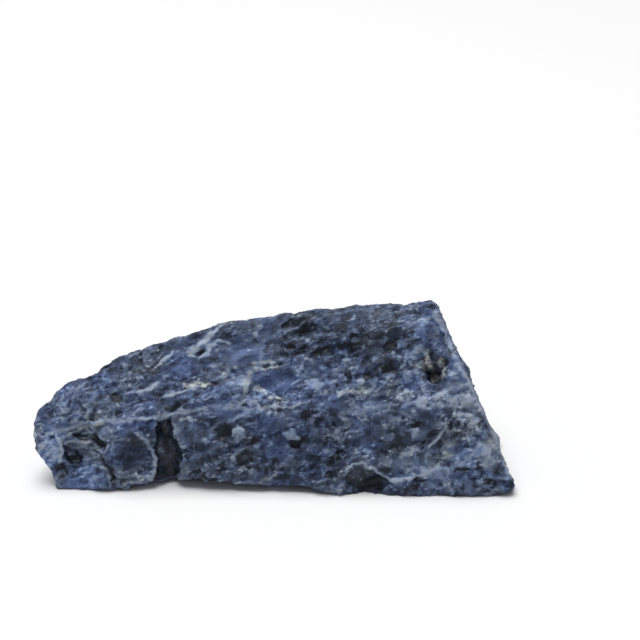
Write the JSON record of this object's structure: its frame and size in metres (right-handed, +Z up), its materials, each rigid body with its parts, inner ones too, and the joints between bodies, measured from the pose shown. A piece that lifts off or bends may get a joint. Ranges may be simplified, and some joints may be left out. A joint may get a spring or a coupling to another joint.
{
  "type": "rough sodalite",
  "caption": "Rough broken lump of blue sodalite with a sloping streaked upper face, a steep grainy front, white veins and dark cleavage hollows; lies on its flattest side.",
  "frame": {"origin": "middle of the stone's bounding box, at the level of the surface it rests on", "axes": "+X along the long front face towards the stone's tall end, -Y out of the front face that the picture shows, +Z up"},
  "size_m": [0.0916, 0.038, 0.0325],
  "materials": {
    "sodalite": "broken blue stone with pale streaks, white veins and dark glassy cleavage faces, unpolished"
  },
  "bodies": {
    "root": {"rough_sodalite": "sodalite"}
  },
  "joints": []
}
